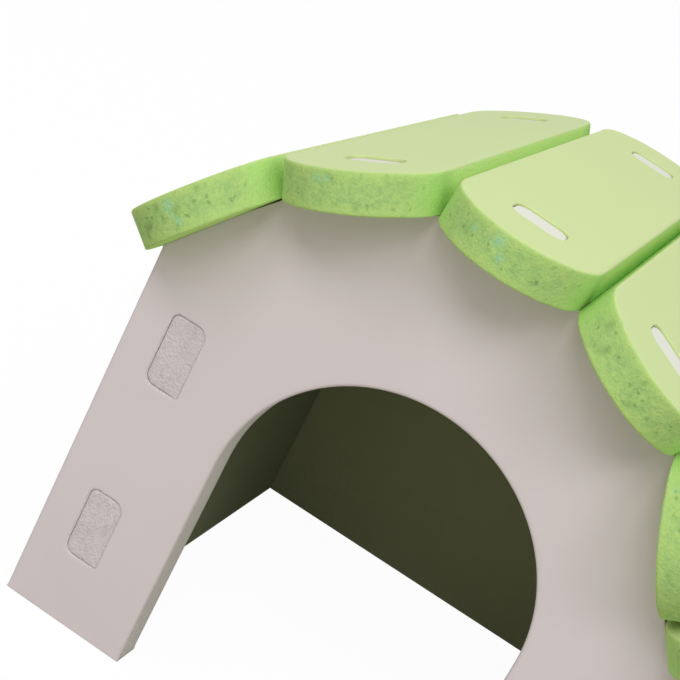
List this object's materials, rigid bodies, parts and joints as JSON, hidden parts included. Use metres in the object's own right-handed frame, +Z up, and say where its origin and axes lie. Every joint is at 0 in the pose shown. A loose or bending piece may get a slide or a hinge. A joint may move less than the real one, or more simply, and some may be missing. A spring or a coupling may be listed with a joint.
{
  "type": "hamster house",
  "caption": "Board hideout for a hamster: slotted walls with an arched doorway and a round window, under round-ended slats laid as a tall and a low domed roof.",
  "frame": {"origin": "on the floor, under the middle of the whole house", "axes": "+X to the right along the front wall, +Y from the front wall to the rear wall, +Z up"},
  "size_m": [0.1826, 0.1098, 0.0944],
  "materials": {
    "wall_board": "smooth pinkish light grey painted board, rough speckled cut ends",
    "roof_board": "smooth light yellow-green board, deeper green porous cut ends"
  },
  "bodies": {
    "root": {"front_wall": "wall_board", "rear_wall": "wall_board", "left_wall": "wall_board", "right_wall": "wall_board", "roof_slat_1": "roof_board", "roof_slat_2": "roof_board", "roof_slat_3": "roof_board", "roof_slat_4": "roof_board", "roof_slat_5": "roof_board", "roof_slat_6": "roof_board", "roof_slat_7": "roof_board", "roof_slat_8": "roof_board", "roof_slat_9": "roof_board"}
  },
  "joints": []
}
